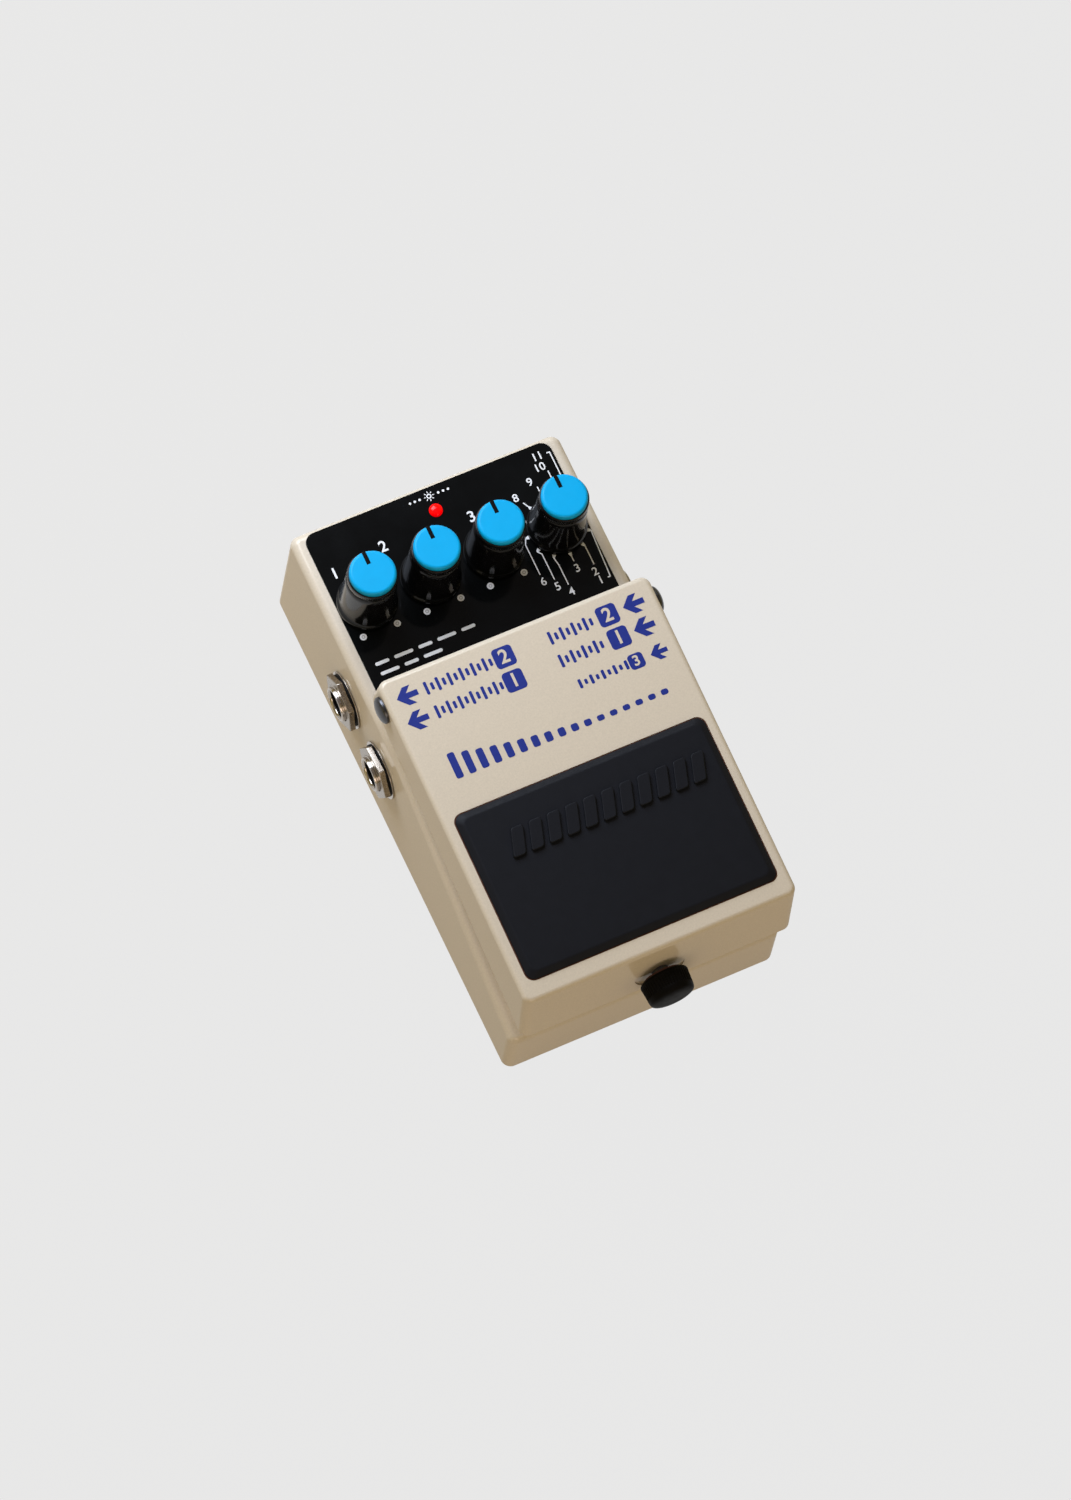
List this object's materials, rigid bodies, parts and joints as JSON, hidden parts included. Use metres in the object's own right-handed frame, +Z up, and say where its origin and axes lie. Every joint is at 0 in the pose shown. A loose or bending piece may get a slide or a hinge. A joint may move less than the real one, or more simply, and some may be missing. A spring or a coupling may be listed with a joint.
{
  "type": "digital delay pedal",
  "caption": "Compact foot pedal for guitar delay effects with a hinged sprung treadle, a rubber tread, control knobs on a rear panel, side sockets and a front thumbscrew.",
  "frame": {"origin": "middle of the case's base, on the surface it stands on", "axes": "+X to the player's right, +Y to the rear (knobs), +Z up"},
  "size_m": [0.0734, 0.1332, 0.0571],
  "materials": {
    "battery_jacket": "plain printed steel",
    "black_gloss": "printed film",
    "black_plastic": "satin moulded",
    "black_rubber": "matt, fine grain",
    "blue_plastic": "smooth moulded",
    "clear_film": "polyester film",
    "dark_steel": "black plated",
    "green_board": "solder mask",
    "grey_foam": "closed foam",
    "jack_body": "moulded, nickel bushing",
    "metal_can": "satin",
    "nickel": "nickel plated",
    "pearl_paint": "pearl champagne stove enamel",
    "red_fibre": "vulcanised fibre",
    "red_lens": "lit lens",
    "white_nylon": "natural nylon",
    "zinc_steel": "zinc plated"
  },
  "bodies": {
    "case": {"base_rubber_sheet": "black_rubber", "base_screws": "zinc_steel", "battery": "battery_jacket", "battery_foam": "grey_foam", "battery_snap": "black_plastic", "bottom_plate": "zinc_steel", "case": "pearl_paint", "control_nuts": "nickel", "feedback_control": "metal_can", "foot_switch": "black_plastic", "guide_bush": "black_plastic", "hinge_washers": "white_nylon", "indicator_lamp": "red_lens", "insulating_sheet": "clear_film", "jack_nuts": "nickel", "jack_washers": "nickel", "lamp_holder": "black_plastic", "left_front_jack": "jack_body", "left_rear_jack": "jack_body", "level_control": "metal_can", "main_board": "green_board", "mode_control": "metal_can", "panel_board": "green_board", "panel_plate": "black_gloss", "power_inlet": "black_plastic", "return_spring": "zinc_steel", "right_front_jack": "jack_body", "right_middle_jack": "jack_body", "right_rear_jack": "jack_body", "switch_board": "green_board", "time_control": "metal_can"},
    "hinge_pins": {"hinge_pins": "dark_steel", "spring_seat": "zinc_steel"},
    "pedal": {"pedal": "pearl_paint", "pedal_pad": "black_rubber", "switch_pusher": "black_plastic"},
    "thumb_washer": {"thumbscrew_washer": "red_fibre"},
    "thumbscrew": {"thumbscrew_head": "black_plastic", "thumbscrew_shank": "zinc_steel"},
    "switch_plunger": {"switch_plunger": "black_plastic"},
    "level_dial": {"level_shaft": "nickel", "level_knob": "black_plastic", "level_cap": "blue_plastic"},
    "feedback_dial": {"feedback_shaft": "nickel", "feedback_knob": "black_plastic", "feedback_cap": "blue_plastic"},
    "time_dial": {"time_shaft": "nickel", "time_knob": "black_plastic", "time_cap": "blue_plastic"},
    "mode_dial": {"mode_shaft": "nickel", "mode_knob": "black_plastic", "mode_cap": "blue_plastic"}
  },
  "joints": [
    {"name": "pedal_press", "type": "hinge", "parent": "case", "child": "hinge_pins", "pos_m": [0, 0.0119, 0.0491], "axis": [1, 0, 0], "range_deg": [0, 3.1], "stiffness_Nm_per_rad": 6, "springref_deg": -0.69, "deforming": ["return_spring"]},
    {"name": "pedal_open", "type": "hinge", "parent": "hinge_pins", "child": "pedal", "pos_m": [0, 0.0119, 0.0491], "axis": [-1, 0, 0], "range_deg": [0, 70]},
    {"name": "thumbscrew_travel", "type": "slide", "parent": "pedal", "child": "thumb_washer", "axis": [0, -1, 0], "range_m": [-0.0012, 0.0018]},
    {"name": "thumbscrew_turn", "type": "hinge", "parent": "thumb_washer", "child": "thumbscrew", "pos_m": [0, -0.0654, 0.0364], "axis": [0, -1, 0], "range_deg": [-617.1, 925.7]},
    {"name": "switch_travel", "type": "slide", "parent": "case", "child": "switch_plunger", "axis": [0, 0, -1], "range_m": [0, 0.000664]},
    {"name": "level_turn", "type": "hinge", "parent": "case", "child": "level_dial", "pos_m": [-0.02352, 0.0402, 0.03815], "axis": [0, -0.0151, 0.9999], "range_deg": [-150, 150]},
    {"name": "feedback_turn", "type": "hinge", "parent": "case", "child": "feedback_dial", "pos_m": [-0.00784, 0.0402, 0.03815], "axis": [0, -0.0151, 0.9999], "range_deg": [-150, 150]},
    {"name": "time_turn", "type": "hinge", "parent": "case", "child": "time_dial", "pos_m": [0.00784, 0.0402, 0.03815], "axis": [0, -0.0151, 0.9999], "range_deg": [-150, 150]},
    {"name": "mode_turn", "type": "hinge", "parent": "case", "child": "mode_dial", "pos_m": [0.02352, 0.0402, 0.03815], "axis": [0, -0.0151, 0.9999], "range_deg": [-60, 240]}
  ],
  "couplings": [
    {"joint": "thumbscrew_travel", "follows": "thumbscrew_turn", "m_per_rad": 0.00011141},
    {"joint": "switch_travel", "follows": "pedal_press", "m_per_rad": 0.0119}
  ]
}
